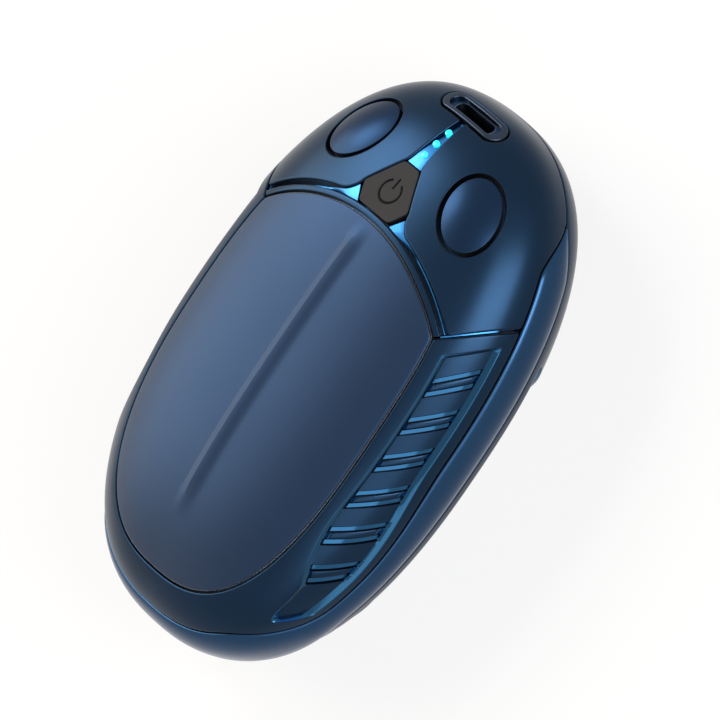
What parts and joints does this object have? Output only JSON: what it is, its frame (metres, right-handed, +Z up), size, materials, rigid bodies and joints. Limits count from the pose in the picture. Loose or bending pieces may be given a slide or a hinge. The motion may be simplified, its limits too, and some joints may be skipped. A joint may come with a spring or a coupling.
{
  "type": "rechargeable hand warmer",
  "caption": "Palm-sized rounded rechargeable hand warmer with heating plates on both faces, domed head ovals, six-sided power button, indicator lights and a charging port.",
  "frame": {"origin": "Middle of the flat rest face under the back plate", "axes": "+Z up through the front plate and the power button, +Y towards the head with the charging port, +X to the right seen from above with the head away from the viewer"},
  "size_m": [0.0616, 0.0988, 0.0338],
  "materials": {
    "shell": "satin metallic lacquer",
    "plate": "fine satin anodised",
    "trim": "bright metallised",
    "button": "fine matte",
    "bezel": "satin",
    "socket": "plain",
    "black_plastic": "matte",
    "lens": "lit, translucent",
    "board": "solder mask",
    "white_plastic": "matte",
    "red_plastic": "matte",
    "ferrite": "matte",
    "ceramic": "matte",
    "flex": "thin film",
    "cell": "laminated foil",
    "tray": "moulded",
    "foam": "open foam",
    "wire": "smooth sleeve",
    "screw": "zinc plated"
  },
  "bodies": {
    "body": {"front_frame": "shell", "head_cover": "shell", "mid_band": "shell", "back_shell": "shell", "front_plate": "plate", "back_plate": "plate", "head_trim": "trim", "left_trim": "trim", "right_trim": "trim", "left_eye": "shell", "right_eye": "shell", "port_bezel": "bezel", "usb_socket": "socket", "usb_tongue": "black_plastic", "port_board": "board", "port_cable": "flex", "indicator_lenses": "lens", "indicator_leds": "white_plastic", "led_strip": "flex", "main_board": "board", "controller_chip": "black_plastic", "power_inductor": "ferrite", "capacitors": "ceramic", "switch_body": "black_plastic", "cell_plug": "white_plastic", "cell_wires": "wire", "front_cell": "cell", "back_cell": "cell", "cell_tray": "tray", "front_heater": "flex", "back_heater": "flex", "heater_wires": "wire", "thermistor": "black_plastic", "front_foam": "foam", "back_foam": "foam", "board_screws": "screw", "tray_screws": "screw"},
    "button": {"power_button": "button", "switch_plunger": "red_plastic"}
  },
  "joints": [
    {"name": "button_press", "type": "slide", "parent": "body", "child": "button", "axis": [0, 0, -1], "range_m": [0, 0.0004], "stiffness_N_per_m": 5000, "springref_m": -0.0001}
  ]
}
